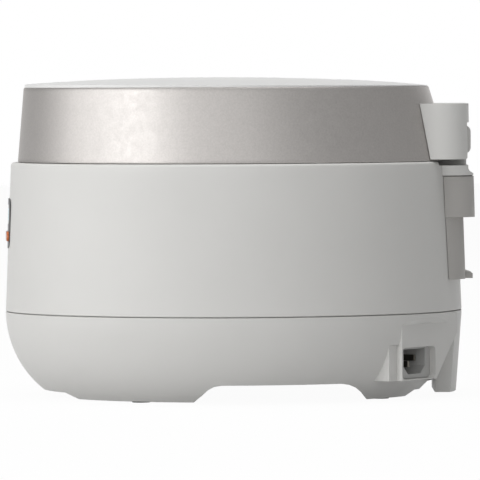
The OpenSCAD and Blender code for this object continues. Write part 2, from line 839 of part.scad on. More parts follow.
// Hinge cover: plan with round rear corners, sides leaning in towards the top
module cover_form(skin) {
    lean = atan2(cover_half_low - cover_half_top, cover_top - cover_low);
    plan = [cover_half_low - skin + 2, 80];
    radius = cover_corner - skin;
    intersection() {
        for (side = [0, 1]) mirror([side, 0, 0])
            translate([cover_half_low - skin, 0, cover_low]) rotate([0, -lean, 0]) translate([0, 0, -20])
            linear_extrude(80) {
                translate([-plan[0], strip_back - skin - 80]) square([plan[0] - radius, 80]);
                translate([-plan[0], strip_back - skin - 80]) square([plan[0], 80 - radius]);
                translate([-radius, strip_back - skin - radius]) circle(r = radius);
            }
        across(-80, 80) union() {
            translate([80, cover_low]) square([cover_back - 80 - skin, cover_top - cover_low - skin]);
            translate([80, strip_z]) square([strip_back - 80 - skin, cover_top - strip_z - skin]);
        }
        across(-80, 80) union() {
            translate([hinge_y, hinge_z]) circle(r = cover_sweep);
            translate([60, 100]) square([hinge_y - 60, 100]);
            translate([60, hinge_z]) square([120, 60]);
        }
    }
}

module hinge_cover() {
    color("whitesmoke") difference() {
        cover_form(0);
        difference() {
            union() {
                cover_form(2.2);
                translate([-cover_half_top, 100, 150]) cube([2 * cover_half_top, 34, 20]);
            }
            for (side = [-1, 1])
                translate([side > 0 ? slot_half : -slot_half - 2.2, 90, 150]) cube([2.2, 60, 40]);
        }
        band_form(0.15);
        translate([-slot_half, 100, 150]) cube([2 * slot_half, 60, strip_z - 150]);
        across(-slot_half, slot_half) translate([hinge_y, hinge_z]) circle(r = 16.4);
        across(-30, 30) {
            translate([hinge_y, hinge_z]) circle(r = 10.9);
            translate([120, hinge_z - 11.5]) square([hinge_y - 120, 22.6]);
        }
    }
}

module lid_heater() {
    color("silver") translate([0, pot_y, 0]) difference() {
        union() {
            translate([0, 0, 159.6]) cylinder(r = pot_r + 5, h = 1.2);
            for (r = [40, 62, 84]) translate([0, 0, 160.8]) difference() {
                cylinder(r = r + 2, h = 0.8);
                translate([0, 0, -1]) cylinder(r = r - 2, h = 3);
            }
        }
        translate([0, vent_y - pot_y, 150]) cylinder(r = vent_r + 2.4, h = 20);
        translate([0, -pot_y, 150]) screw_places() cylinder(r = 3.6, h = 20);
    }
}

// Removable inner lid: a dished disc with steam holes
module inner_lid() {
    color("silver") translate([0, pot_y, 0]) difference() {
        rotate_extrude() polygon([[0, 153], [78, 153], [87, 157.2], [pot_r + 2.3, 157.2], [pot_r + 2.3, 158.4],
                                  [86.6, 158.4], [77.6, 154.2], [0, 154.2]]);
        translate([0, vent_y - pot_y, 150]) {
            cylinder(r = 3, h = 10);
            for (a = [0:45:315]) translate([7.5 * cos(a), 7.5 * sin(a), 0]) cylinder(r = 1.6, h = 10);
        }
    }
}

module pot_gasket() {
    color("lightgray") translate([0, pot_y, 0]) rotate_extrude() polygon([
        [pot_r + 1, 156], [pot_r + 1, 157.2], [pot_r + 2.4, 157.2], [pot_r + 2.4, 159.4], [pot_r + 5.4, 159.4],
        [pot_r + 6.6, 154.5], [pot_r + 5.2, 154.5], [pot_r + 4, 156]]);
}

// Steam passage from the inner lid to the cap
module steam_duct() {
    color("lightgray") translate([0, vent_y, 0]) difference() {
        union() {
            translate([0, 0, 161]) cylinder(r = vent_r + 2.2, h = band_top - 1.4 - 161);
            translate([0, 0, 164.8]) cylinder(r = vent_r + 6, h = 2);
        }
        translate([0, 0, 150]) cylinder(r = vent_r, h = 80);
    }
}

module duct_seal() {
    color("gray") translate([0, vent_y, 0]) difference() {
        union() {
            translate([0, 0, 154.2]) cylinder(r = vent_r + 4.4, h = 5.2);
            translate([0, 0, 154.2]) cylinder(r = vent_r + 2.2, h = 6.8);
        }
        translate([0, 0, 150]) cylinder(r = vent_r - 1.5, h = 20);
    }
}

// Steam cap: lies flush in the lid and plugs into the duct
module steam_cap() {
    tube_r = vent_r - 0.3;
    color("whitesmoke") difference() {
        union() {
            intersection() {
                translate([0, vent_y, band_top - 1]) linear_extrude(12) round_rect(56, 44, 12);
                dome(0.1);
            }
            translate([0, vent_y, 188]) cylinder(r = tube_r, h = 18);
        }
        intersection() {
            translate([0, vent_y, band_top - 2]) linear_extrude(12) difference() {
                round_rect(52, 40, 10);
                circle(r = tube_r);
            }
            dome(2.1);
        }
        translate([0, vent_y, 180]) cylinder(r = tube_r - 1.5, h = band_top + 1 - 180);
        for (x = [-7, 0, 7]) translate([x - 1.3, vent_y - 8, 200]) cube([2.6, 16, 20]);
    }
}

// ---- Lid release ----

module lid_button() {
    color("whitesmoke") {
        intersection() {
            translate([0, button_y, band_top - 1]) linear_extrude(12) round_rect(34, 14, 5);
            dome(0.15);
        }
        translate([-4, button_y - 3, 172]) cube([8, 6, band_top - 171]);
    }
}

module lid_button_spring() {
    color("silver") translate([0, button_y, 182.4]) spring(7.6, 0.6, band_top - 1.2 - 182.4);
}

// Bell crank: its nose hangs into the keeper, its arm lies under the button's stem
module latch_hook() {
    color("silver") difference() {
        across(-4, 4) {
            translate([latch_y, latch_z]) circle(r = 4);
            polygon([[latch_y - 2, 144], [latch_y + 3, 144], [latch_y + 4.2, 146.6], [latch_y + 2, 147.4],
                     [latch_y + 2.4, latch_z], [latch_y - 2, latch_z]]);
            polygon([[latch_y, latch_z - 1], [button_y + 3, 168.4], [button_y + 3, 171.4],
                     [latch_y, latch_z + 3.4]]);
        }
        across(-20, 20) translate([latch_y, latch_z]) circle(r = 1.56);
    }
}

module latch_pin() {
    color("silver") across(-12, 12) translate([latch_y, latch_z]) circle(r = 1.5);
}

module lid_screws() {
    color("silver") screw_places() translate([0, 0, 160]) screw(3, 1.6, 20);
}

base_shell();
upper_shell();
rim_deck();
pot_well();
coil_support();
induction_coil();
ferrite_bars();
side_heater();
sensor_cap();
sensor_spring();
inner_pot();
power_board();
heat_sink();
fan_frame();
fan_rotor();
inlet_housing();
inlet_pins();
panel_bezel();
display_window();
control_board();
start_button();
cancel_button();
menu_button();
timer_button();
hinge_post();
hinge_pin();
hinge_spring();
rear_ledge();
dew_collector();
latch_keeper();
rubber_feet();
base_screws();
lid_band();
lid_cover();
lid_frame();
hinge_cover();
lid_heater();
inner_lid();
pot_gasket();
steam_duct();
steam_cap();
duct_seal();
lid_button();
lid_button_spring();
latch_hook();
latch_pin();
lid_screws();
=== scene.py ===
import json
import math

import bpy
import numpy as np
from mathutils import Matrix, Vector


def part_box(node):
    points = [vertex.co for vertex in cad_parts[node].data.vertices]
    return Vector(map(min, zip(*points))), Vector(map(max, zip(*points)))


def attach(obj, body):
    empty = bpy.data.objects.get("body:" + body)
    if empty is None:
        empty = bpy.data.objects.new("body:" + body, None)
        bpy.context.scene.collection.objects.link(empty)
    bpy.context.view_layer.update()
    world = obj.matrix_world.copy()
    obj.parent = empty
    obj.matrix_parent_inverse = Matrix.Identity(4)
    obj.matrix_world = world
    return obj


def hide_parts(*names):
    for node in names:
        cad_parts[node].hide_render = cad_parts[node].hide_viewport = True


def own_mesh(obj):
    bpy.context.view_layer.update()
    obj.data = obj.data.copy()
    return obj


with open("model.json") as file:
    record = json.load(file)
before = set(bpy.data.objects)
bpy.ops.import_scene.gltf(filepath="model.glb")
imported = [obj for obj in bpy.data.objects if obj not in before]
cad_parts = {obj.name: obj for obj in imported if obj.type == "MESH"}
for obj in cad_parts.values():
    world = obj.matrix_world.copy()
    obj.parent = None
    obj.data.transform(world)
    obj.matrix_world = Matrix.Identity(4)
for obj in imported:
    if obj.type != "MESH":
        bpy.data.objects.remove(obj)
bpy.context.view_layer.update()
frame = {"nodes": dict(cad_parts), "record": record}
nodes = frame["nodes"]
mm = 0.001   # the gasket's profile and the panel's small parts are given in millimetres
print("frame loaded:", len(nodes), "nodes")

# The camera looks along -X from the cooker's left side, with a long lens and almost level.
cameraSetup = {
    "distance": 3.80,      # from the middle plane, along +X
    "height": 0.2168,
    "aimHeight": 0.1034,   # height looked at on the middle plane
    "aimDepth": 0.0004,    # how far to the rear the camera and its aim stand
    "focalPixels": 5697.0,
    "imagePixels": 480,
    "rollDegrees": -0.27,
    "sensorWidth": 36.0,   # millimetres
    "nearEnd": 0.1,
    "farEnd": 60.0,
}


def makeCamera(setup):
    cameraData = bpy.data.cameras.new("camera")
    camera = bpy.data.objects.new("camera", cameraData)
    bpy.context.collection.objects.link(camera)
    cameraData.sensor_width = setup["sensorWidth"]
    cameraData.lens = setup["sensorWidth"] * setup["focalPixels"] / setup["imagePixels"]
    cameraData.clip_start = setup["nearEnd"]
    cameraData.clip_end = setup["farEnd"]
    eye = Vector((setup["distance"], setup["aimDepth"], setup["height"]))
    aim = Vector((0.0, setup["aimDepth"], setup["aimHeight"]))
    turn = (aim - eye).to_track_quat("-Z", "Y").to_matrix()
    roll = Matrix.Rotation(math.radians(setup["rollDegrees"]), 3, "Z")
    camera.matrix_world = Matrix.LocRotScale(eye, (turn @ roll).to_quaternion(), None)
    bpy.context.scene.camera = camera


makeCamera(cameraSetup)
print("camera set")

# Two soft boxes stand low towards the front, one faces the cooker's left side and one hangs above. A faint
# one stands behind on the far side, and the room is pale all round.
studio = {
    "floorSize": 14.0,
    "floorColor": (0.55, 0.55, 0.55),
    "floorGlow": 0.93,         # share of the floor's look that is plain white; the rest is its shaded cloth
    "floorWhite": 1.03,
    "fillStrength": 0.25,
    "roomStrength": 0.42,      # what gloss sees of the room
    "backdropStrength": 1.06,  # and of the low backdrop behind the cooker
    "backdropX": (-0.8, -0.95),  # where the backdrop fades in, as a direction's X
    "backdropZ": (0.30, 0.10),   # and its Z
    "lampAim": 0.1,            # height that the soft boxes face
    "boxes": {                 # turn from +X towards the front and rise in degrees, distance, size, power
        "keyLight": (45.0, 18.0, 2.2, (0.8, 0.9), 14.4),
        "frontLight": (77.0, 14.0, 2.0, (0.9, 1.1), 7.6),
        "sideLight": (0.0, 12.0, 2.6, (1.6, 1.2), 8.2),
        "rearLight": (-152.0, 12.0, 2.2, (1.0, 1.0), 1.8),
        "topLight": (-45.0, 87.0, 2.2, (1.6, 1.6), 24.0),
    },
}


# Adds a shader node. Each named value goes to the input of that name, or else to the node's own setting.
def node(tree, kind, place=(0, 0), **values):
    made = tree.nodes.new(kind)
    made.location = place
    for name, value in values.items():
        if name in made.inputs:
            made.inputs[name].default_value = value
        else:
            setattr(made, name, value)
    return made


def mapRange(tree, place, fromLow, fromHigh, toLow, toHigh):
    made = node(tree, "ShaderNodeMapRange", place)
    for socket, value in zip(range(1, 5), (fromLow, fromHigh, toLow, toHigh)):
        made.inputs[socket].default_value = value
    return made


# Camera rays see white; gloss sees the backdrop fade to the room; the rest is plain fill.
def makeWorld(setup):
    world = bpy.data.worlds.new("studioWorld")
    bpy.context.scene.world = world
    world.use_nodes = True
    tree = world.node_tree
    tree.nodes.clear()
    white = (1.0, 1.0, 1.0, 1.0)
    fill = node(tree, "ShaderNodeBackground", (0, 0), Color=white, Strength=setup["fillStrength"])
    room = node(tree, "ShaderNodeBackground", (0, -150), Color=white)
    seen = node(tree, "ShaderNodeBackground", (0, -300), Color=white, Strength=1.0)
    rays = node(tree, "ShaderNodeLightPath", (-400, 300))
    spot = node(tree, "ShaderNodeTexCoord", (-800, -150))
    split = node(tree, "ShaderNodeSeparateXYZ", (-600, -150))
    across = mapRange(tree, (-400, -100), *setup["backdropX"], 0.0, 1.0)
    upward = mapRange(tree, (-400, -350), *setup["backdropZ"], 0.0, 1.0)
    both = node(tree, "ShaderNodeMath", (-200, -150), operation="MULTIPLY")
    fade = mapRange(tree, (-50, -150), 0.0, 1.0, setup["roomStrength"], setup["backdropStrength"])
    gloss = node(tree, "ShaderNodeMath", (-200, 200), operation="ADD", use_clamp=True)
    inner = node(tree, "ShaderNodeMixShader", (250, 0))
    outer = node(tree, "ShaderNodeMixShader", (450, 0))
    out = node(tree, "ShaderNodeOutputWorld", (650, 0))
    link = tree.links.new
    link(spot.outputs["Generated"], split.inputs[0])
    link(split.outputs["X"], across.inputs[0])
    link(split.outputs["Z"], upward.inputs[0])
    link(across.outputs[0], both.inputs[0])
    link(upward.outputs[0], both.inputs[1])
    link(both.outputs[0], fade.inputs[0])
    link(fade.outputs[0], room.inputs["Strength"])
    link(rays.outputs["Is Glossy Ray"], gloss.inputs[0])
    link(rays.outputs["Is Transmission Ray"], gloss.inputs[1])
    link(gloss.outputs[0], inner.inputs[0])
    link(fill.outputs[0], inner.inputs[1])
    link(room.outputs[0], inner.inputs[2])
    link(rays.outputs["Is Camera Ray"], outer.inputs[0])
    link(inner.outputs[0], outer.inputs[1])
    link(seen.outputs[0], outer.inputs[2])
    link(outer.outputs[0], out.inputs[0])


def makeLights(setup):
    for name, (turn, rise, distance, size, power) in setup["boxes"].items():
        data = bpy.data.lights.new(name, "AREA")
        data.shape = "RECTANGLE"
        data.size, data.size_y = size
        data.energy = power
        light = bpy.data.objects.new(name, data)
        bpy.context.collection.objects.link(light)
        turn, rise = math.radians(turn), math.radians(rise)
        toward = Vector((math.cos(rise) * math.cos(turn), -math.cos(rise) * math.sin(turn), math.sin(rise)))
        light.location = Vector((0.0, 0.0, setup["lampAim"])) + distance * toward
        light.rotation_euler = toward.to_track_quat("Z", "Y").to_euler()


# The floor's cloth takes light and shadow; to the eye and in gloss most of it is plain white.
def makeFloor(setup):
    mesh = bpy.data.meshes.new("floor")
    reach = setup["floorSize"] / 2
    corners = [(-reach, -reach, 0), (reach, -reach, 0), (reach, reach, 0), (-reach, reach, 0)]
    mesh.from_pydata(corners, [], [(0, 1, 2, 3)])
    floor = bpy.data.objects.new("floor", mesh)
    bpy.context.collection.objects.link(floor)
    material = bpy.data.materials.new("paleFloor")
    material.use_nodes = True
    tree = material.node_tree
    tree.nodes.clear()
    white = (1.0, 1.0, 1.0, 1.0)
    cloth = node(tree, "ShaderNodeBsdfDiffuse", (0, 0), Color=(*setup["floorColor"], 1.0))
    shine = node(tree, "ShaderNodeEmission", (0, -150), Color=white, Strength=setup["floorWhite"])
    rays = node(tree, "ShaderNodeLightPath", (-400, 200))
    sight = node(tree, "ShaderNodeMath", (-200, 200), operation="ADD", use_clamp=True)
    seen = node(tree, "ShaderNodeMath", (-20, 200), operation="ADD", use_clamp=True)
    share = node(tree, "ShaderNodeMath", (160, 200), operation="MULTIPLY")
    share.inputs[1].default_value = setup["floorGlow"]
    mix = node(tree, "ShaderNodeMixShader", (400, 0))
    out = node(tree, "ShaderNodeOutputMaterial", (600, 0))
    link = tree.links.new
    link(rays.outputs["Is Camera Ray"], sight.inputs[0])
    link(rays.outputs["Is Glossy Ray"], sight.inputs[1])
    link(sight.outputs[0], seen.inputs[0])
    link(rays.outputs["Is Transmission Ray"], seen.inputs[1])
    link(seen.outputs[0], share.inputs[0])
    link(share.outputs[0], mix.inputs[0])
    link(cloth.outputs[0], mix.inputs[1])
    link(shine.outputs[0], mix.inputs[2])
    link(mix.outputs[0], out.inputs[0])
    mesh.materials.append(material)


makeWorld(studio)
makeLights(studio)
makeFloor(studio)
bpy.context.scene.view_settings.view_transform = "Standard"
print("studio set")


# What the finishes share.
finishRules = {
    "grainDepth": 0.00002,     # metres
    "grainRoughness": 0.6,
    "softenSamples": 6,
    "noiseSpan": (0.3, 0.7),   # the stretch of a noise's range over which a colour or a roughness changes
    "roughnessSpread": 0.03,
    "plasticIor": 1.46,
    "plasticNoise": (1.0, 6.0),    # scales of the tint's and the roughness's noise, times the tint's scale
    "metalNoise": (0.35, 0.1),     # the same for metals, times the grain's scale
}


# The normal runs through edge softening first, then a fine grain: noise on Object coordinates drives a
# shallow bump.
def addGrain(tree, shader, spot, grain, strength, soften):
    noise = node(tree, "ShaderNodeTexNoise", (-800, -300), Scale=grain, Detail=3.0,
                 Roughness=finishRules["grainRoughness"])
    bump = node(tree, "ShaderNodeBump", (-300, -300), Strength=strength, Distance=finishRules["grainDepth"])
    link = tree.links.new
    link(spot, noise.inputs["Vector"])
    link(noise.outputs["Fac"], bump.inputs["Height"])
    if soften > 0:
        samples = finishRules["softenSamples"]
        edge = node(tree, "ShaderNodeBevel", (-550, -500), samples=samples, Radius=soften)
        link(edge.outputs["Normal"], bump.inputs["Normal"])
    link(bump.outputs["Normal"], shader.inputs["Normal"])


# Colour varies about its mean with a noise, from mean times (1 - spread) to mean times (1 + spread).
def addTint(tree, shader, spot, color, spread, scale):
    noise = node(tree, "ShaderNodeTexNoise", (-800, 200), Scale=scale, Detail=2.0)
    ramp = node(tree, "ShaderNodeValToRGB", (-500, 200))
    low = [max(0.0, c * (1.0 - spread)) for c in color]
    high = [min(1.0, c * (1.0 + spread)) for c in color]
    for element, position, shade in zip(ramp.color_ramp.elements, finishRules["noiseSpan"], (low, high)):
        element.position = position
        element.color = (*shade, 1.0)
    tree.links.new(spot, noise.inputs["Vector"])
    tree.links.new(noise.outputs["Fac"], ramp.inputs["Fac"])
    tree.links.new(ramp.outputs["Color"], shader.inputs["Base Color"])


# Roughness follows its own noise, so that a broad highlight breaks up a little.
def addRoughness(tree, shader, spot, roughness, scale):
    spread = finishRules["roughnessSpread"]
    noise = node(tree, "ShaderNodeTexNoise", (-800, -50), Scale=scale, Detail=2.0)
    fade = mapRange(tree, (-500, -50), *finishRules["noiseSpan"], roughness - spread, roughness + spread)
    tree.links.new(spot, noise.inputs["Vector"])
    tree.links.new(noise.outputs["Fac"], fade.inputs[0])
    tree.links.new(fade.outputs[0], shader.inputs["Roughness"])


# The two noise scales are those of the tint and of the roughness.
def newFinish(name, color, roughness, grain, strength, spread, soften, noiseScales):
    material = bpy.data.materials.new(name)
    material.use_nodes = True
    tree = material.node_tree
    shader = tree.nodes["Principled BSDF"]
    spot = node(tree, "ShaderNodeTexCoord", (-1200, -300)).outputs["Object"]
    tintScale, roughnessScale = noiseScales
    addGrain(tree, shader, spot, grain, strength, soften)
    addTint(tree, shader, spot, color, spread, tintScale)
    addRoughness(tree, shader, spot, roughness, roughnessScale)
    return material, shader


def plastic(name, color, roughness, grain=1400.0, strength=0.25, spread=0.012, tintScale=18.0, soften=0.0004):
    scales = [tintScale * times for times in finishRules["plasticNoise"]]
    material, shader = newFinish(name, color, roughness, grain, strength, spread, soften, scales)
    shader.inputs["IOR"].default_value = finishRules["plasticIor"]
    return material


def metal(name, color, roughness, grain=2600.0, strength=0.3, spread=0.05, soften=0.0002):
    scales = [grain * times for times in finishRules["metalNoise"]]
    material, shader = newFinish(name, color, roughness, grain, strength, spread, soften, scales)
    shader.inputs["Metallic"].default_value = 1.0
    return material


finishes = {
    "white_plastic": plastic("whitePlastic", (0.73, 0.725, 0.705), 0.46, soften=0.0006),
    "crown_plastic": plastic("crownPlastic", (0.84, 0.84, 0.83), 0.36, strength=0.02, soften=0.0),
    # the collector is the body's white plastic; its darker colour is painted shade of its side turned away
    # from the lamps
    "collector_plastic": plastic("collectorPlasticPaintedShade", (0.50, 0.485, 0.465), 0.50, soften=0.0006),
    "grey_plastic": plastic("greyPlastic", (0.52, 0.52, 0.51), 0.5),
    "tray_plastic": plastic("trayPlastic", (0.55, 0.55, 0.54), 0.5),
    "black_plastic": plastic("blackPlastic", (0.02, 0.02, 0.02), 0.45),
    "panel_plastic": plastic("panelPlastic", (0.05, 0.05, 0.052), 0.35, strength=0.05, soften=0.0002),
    "window_plastic": plastic("windowPlastic", (0.004, 0.004, 0.005), 0.12, strength=0.02, soften=0.0),
    "start_key": plastic("startKey", (0.65, 0.18, 0.05), 0.35),
    "key_plastic": plastic("keyPlastic", (0.40, 0.40, 0.41), 0.35),
    "band_metal": metal("bandMetal", (0.485, 0.465, 0.45), 0.50, strength=0.1),
    "well_metal": metal("wellMetal", (0.50, 0.50, 0.50), 0.4),
    "inner_lid_metal": metal("innerLidMetal", (0.62, 0.62, 0.62), 0.34, grain=500.0, strength=0.02,
                             spread=0.01, soften=0.0),
    "sensor_metal": metal("sensorMetal", (0.65, 0.65, 0.66), 0.3),
    "sink_metal": metal("sinkMetal", (0.60, 0.60, 0.61), 0.4),
    "spring_steel": metal("springSteel", (0.50, 0.50, 0.50), 0.3),
    # the pins' dark colour is painted shade of the inlet's hollow
    "pin_metal": metal("pinMetalPaintedShade", (0.16, 0.15, 0.13), 0.35),
    "copper_wire": metal("copperWire", (0.45, 0.18, 0.07), 0.3),
    "ferrite": plastic("ferriteBlack", (0.03, 0.03, 0.032), 0.6),
    "heater_film": plastic("heaterFilm", (0.45, 0.25, 0.05), 0.4),
    "pot_coating": plastic("potCoating", (0.025, 0.025, 0.027), 0.3, grain=3000.0, spread=0.3,
                           tintScale=3000.0),
    "circuit_board": plastic("circuitBoard", (0.01, 0.10, 0.03), 0.4),
    "foot_rubber": plastic("footRubber", (0.03, 0.03, 0.03), 0.8),
    "silicone": plastic("silicone", (0.50, 0.50, 0.48), 0.5),
}


# Marks on the panel, by finish: the colour of a mark and how much it glows.
markLooks = {
    "window_plastic": ((0.55, 0.80, 0.85), 0.5),
    "key_plastic": ((0.85, 0.85, 0.84), 0.0),
    "start_key": ((0.85, 0.85, 0.84), 0.0),
}
mixSockets = {"share": 0, "under": 6, "over": 7, "result": 2}   # the mix node's sockets for colour, by number


# Where a piece's "lit" attribute is 1 the surface takes the mark's colour; where it is 0 or missing, the
# finish stays.
def addMarks(material, color, glow):
    tree = material.node_tree
    shader = tree.nodes["Principled BSDF"]
    base = shader.inputs["Base Color"].links[0].from_socket
    lit = node(tree, "ShaderNodeAttribute", (-300, 400), attribute_name="lit")
    mix = node(tree, "ShaderNodeMix", (-100, 300), data_type="RGBA")
    mix.inputs[mixSockets["over"]].default_value = (*color, 1.0)
    link = tree.links.new
    link(lit.outputs["Fac"], mix.inputs[mixSockets["share"]])
    link(base, mix.inputs[mixSockets["under"]])
    link(mix.outputs[mixSockets["result"]], shader.inputs["Base Color"])
    if glow > 0:
        power = node(tree, "ShaderNodeMath", (-100, 500), operation="MULTIPLY")
        power.inputs[1].default_value = glow
        shader.inputs["Emission Color"].default_value = (*color, 1.0)
        link(lit.outputs["Fac"], power.inputs[0])
        link(power.outputs[0], shader.inputs["Emission Strength"])


for finishName, (markColor, markGlow) in markLooks.items():
    addMarks(finishes[finishName], markColor, markGlow)

slotOf = {entry["node"]: entry["material_slot"] for entry in frame["record"]["subparts"]}
for nodeName, nodeObject in nodes.items():
    nodeObject.data.materials.clear()
    nodeObject.data.materials.append(finishes[slotOf[nodeName]])
print("finishes made:", len(finishes))


# Puts points and faces into a mesh, smooths its shading except over sharp edges, and hangs the piece on
# its body.
def makePiece(name, points, faces, slot, body, replaced=(), sharpDegrees=35.0):
    mesh = bpy.data.meshes.new(name)
    mesh.from_pydata(np.asarray(points, float).reshape(-1, 3).tolist(), [], [list(face) for face in faces])
    mesh.validate()
    mesh.polygons.foreach_set("use_smooth", np.ones(len(mesh.polygons), bool))
    mesh.set_sharp_from_angle(angle=math.radians(sharpDegrees))
    mesh.materials.append(finishes[slot])
    piece = bpy.data.objects.new(name, mesh)
    bpy.context.collection.objects.link(piece)
    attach(piece, body)
    if replaced:
        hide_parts(*replaced)
    return piece


# Quads of a grid of rows and columns; closing joins the last row or column to the first.
def gridQuads(rows, columns, closeRows=False, closeColumns=True):
    index = np.arange(rows * columns).reshape(rows, columns)
    if closeRows:
        index = np.vstack([index, index[:1]])
    if closeColumns:
        index = np.hstack([index, index[:, :1]])
    return np.stack([index[:-1, :-1], index[:-1, 1:], index[1:, 1:], index[1:, :-1]], axis=-1).reshape(-1, 4)


# A body of revolution about the upright line through centre. The profile lists (radius, height) from the
# underside outwards and up; a first or last radius of 0 becomes a single point.
def turned(profile, centre, count):
    profile = np.asarray(profile, float)
    turns = np.arange(count) * 2 * np.pi / count
    x = centre[0] + profile[:, :1] * np.cos(turns)
    y = centre[1] + profile[:, :1] * np.sin(turns)
    points = np.stack([x, y, profile[:, 1:] + 0 * turns], axis=-1).reshape(-1, 3)
    rows = len(profile)
    if profile[0, 0] > 0:
        return points, gridQuads(rows, count, closeRows=True).tolist()
    points = np.vstack([points[count:-count], points[:1], points[-1:]])
    faces = gridQuads(rows - 2, count).tolist()
    after = (np.arange(count) + 1) % count
    low, high = len(points) - 2, len(points) - 1
    last = (rows - 3) * count
    faces += [(low, int(after[i]), i) for i in range(count)]
    faces += [(high, last + i, last + int(after[i])) for i in range(count)]
    return points, faces


# A wall with holes: two matching grids, outer and inner, closed all round. Where a kept cell meets a cell
# that is left out, or the grid's end, a strip joins the outer edge to the inner one.
def thickSheet(outer, inner, keep):
    rows, columns = outer.shape[:2]
    half = rows * columns
    index = np.arange(half).reshape(rows, columns)
    after = np.roll(index, -1, axis=1)
    quads = np.stack([index[:-1], after[:-1], after[1:], index[1:]], axis=-1)[keep]
    walls = []
    padded = np.vstack([np.zeros((1, columns), bool), keep, np.zeros((1, columns), bool)])
    for side, differs in ((1, padded[1:] & ~padded[:-1]), (-1, ~padded[1:] & padded[:-1])):
        a, b = index[differs], after[differs]
        walls.append(np.stack([b, a, a + half, b + half][::side], axis=-1))
    before = np.roll(keep, 1, axis=1)
    for side, differs in ((1, keep & ~before), (-1, ~keep & before)):
        a, b = index[:-1][differs], index[1:][differs]
        walls.append(np.stack([a, b, b + half, a + half][::side], axis=-1))
    faces = np.vstack([quads, quads[:, ::-1] + half] + walls)
    points = np.vstack([outer.reshape(-1, 3), inner.reshape(-1, 3)])
    used = np.unique(faces)
    renumber = np.zeros(len(points), int)
    renumber[used] = np.arange(len(used))
    return points[used], renumber[faces]


# Points on ovals: half depth and height by row, turn by column, measured from the front towards +X.
# x = narrow * half * sin(turn), y = middle - half * cos(turn).
def ovalGrid(profile, turns, middle, narrow):
    half = profile[:, 0][:, None]
    height = profile[:, 1][:, None] + 0 * turns[None, :]
    x = narrow * half * np.sin(turns)[None, :]
    y = np.reshape(middle, (-1, 1)) - half * np.cos(turns)[None, :]
    return np.stack([x, y + 0 * x, height], axis=-1)


# Even turns round the oval, with further ones exactly where an opening's edge falls. An even one is left out
# where an edge lies nearer to it than keepClear times half a step.
def turnsWith(edges, count, keepClear=0.6):
    even = np.arange(count) * 2 * np.pi / count
    edges = np.mod(np.asarray(edges, float), 2 * np.pi)
    gap = np.abs(np.mod(even[:, None] - edges[None, :] + np.pi, 2 * np.pi) - np.pi).min(axis=1)
    return np.sort(np.concatenate([even[gap > keepClear * np.pi / count], edges]))


# Points of an arc: middle + radius * (cos a, sin a), a running evenly from start to end in degrees.
def arc(middle, radius, start, end, count):
    angle = np.radians(np.linspace(start, end, count))
    return np.stack([middle[0] + radius * np.cos(angle), middle[1] + radius * np.sin(angle)], axis=-1)


shellLow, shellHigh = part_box("upper_shell")
bodyHalf = (shellHigh.y - shellLow.y) / 2
bodyMiddle = (shellHigh.y + shellLow.y) / 2
narrow = shellHigh.x / bodyHalf

# Upper body: leans in a little from the seam, and rolls over a soft rim.
upperShell = {
    "lean": 0.0039,
    "wall": 0.0026,
    "rimWidth": 0.0060,
    "rimRound": 0.0021,
    "innerRound": 0.0010,
    "rimMeets": (0.0034, 0.0036),   # where the outer and the inner sheet end on the rim's flat top
    "rimRoot": 0.0080,       # how far below the rim the wall thickens
    "rootRise": 0.0015,      # and the height over which it does
    "footRound": 0.0005,
    "footRise": 0.8,         # share of the foot's round that the inner sheet's rows cover
    "panelRim": 0.0025,      # how far the panel's flange overlaps the wall
    "hookX": (0.0264, 0.0336),   # holes for the collector's hooks, on each side of the middle
    "hookZ": (0.1254, 0.1336),
    "slotX": 0.0143,         # half width and lower end of the hinge post's slot
    "slotZ": 0.1400,
    "notchX": 0.0508,        # half width of the notch over the rear ledge
    "rows": 40,
    "rimSteps": 9,
    "footSteps": 4,
    "turnCount": 288,
}


# Half the body's depth at a height: it shrinks evenly by the lean, from the seam up to the rim.
def shellHalf(z):
    return bodyHalf - upperShell["lean"] * (z - shellLow.z) / (shellHigh.z - shellLow.z)


